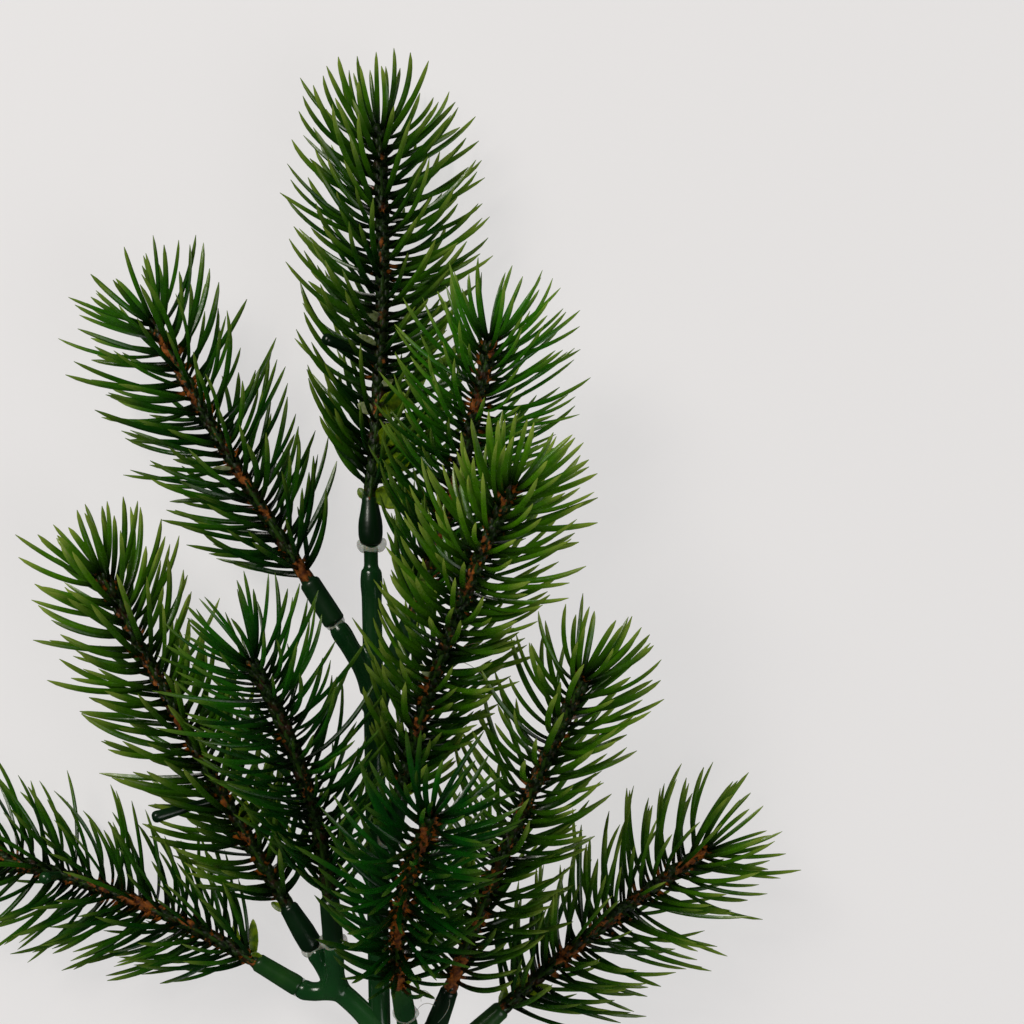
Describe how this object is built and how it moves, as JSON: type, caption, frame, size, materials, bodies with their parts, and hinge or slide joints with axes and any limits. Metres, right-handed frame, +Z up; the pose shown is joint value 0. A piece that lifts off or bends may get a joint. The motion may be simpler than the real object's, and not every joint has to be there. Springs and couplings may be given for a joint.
{
  "type": "artificial spruce branch",
  "caption": "Moulded plastic spruce branch lying flat: a round stem with forked side arms, needled sprigs sleeved and glued onto its pegs, and a bare cut end.",
  "frame": {"origin": "on the surface it lies on, under the middle of the branch's bounding box", "axes": "+Y along the stem, from its cut end to the leading sprig; +Z up, away from the surface; +X to the right, seen from above"},
  "size_m": [0.1954, 0.2992, 0.0897],
  "materials": {
    "stem_plastic": "smooth dark green moulded plastic, glossy",
    "sprig_plastic": "green moulded plastic needles with paler tips, on a twig with brown paint on its knobs",
    "clear_glue": "cloudy clear hot glue"
  },
  "bodies": {
    "root": {"main_stem": "stem_plastic", "left_arm": "stem_plastic", "right_arm": "stem_plastic", "leader_sprig": "sprig_plastic", "upper_left_sprig": "sprig_plastic", "upper_right_sprig": "sprig_plastic", "front_sprig": "sprig_plastic", "left_long_sprig": "sprig_plastic", "left_inner_sprig": "sprig_plastic", "left_low_sprig": "sprig_plastic", "lower_front_sprig": "sprig_plastic", "right_long_sprig": "sprig_plastic", "right_low_sprig": "sprig_plastic", "leader_glue": "clear_glue", "upper_left_glue": "clear_glue", "upper_right_glue": "clear_glue", "front_glue": "clear_glue", "left_long_glue": "clear_glue", "left_inner_glue": "clear_glue", "left_low_glue": "clear_glue", "lower_front_glue": "clear_glue", "right_long_glue": "clear_glue", "right_low_glue": "clear_glue"}
  },
  "joints": []
}
